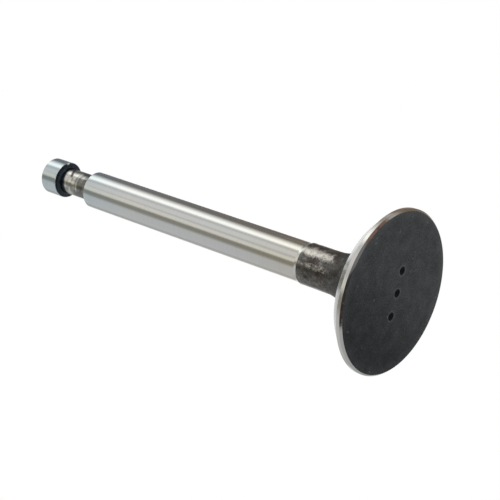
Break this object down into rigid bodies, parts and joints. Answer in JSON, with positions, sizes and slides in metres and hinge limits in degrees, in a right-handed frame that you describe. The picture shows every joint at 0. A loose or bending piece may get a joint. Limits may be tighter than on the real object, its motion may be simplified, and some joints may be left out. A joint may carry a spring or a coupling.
{
  "type": "engine valve",
  "caption": "Poppet valve with a flat round head, 45 degree seat, forged neck, ground stem, keeper groove and button end.",
  "frame": {"origin": "centre of the head's flat face, on the valve's axis", "axes": "+Z along the stem, from the head to the tip; the part is turned about Z"},
  "size_m": [0.032, 0.032, 0.0949],
  "materials": {
    "valve_steel": "forged heat-resisting steel: ground bright stem, seat and button, dark forging scale on the neck and head"
  },
  "bodies": {
    "root": {"valve": "valve_steel"}
  },
  "joints": []
}
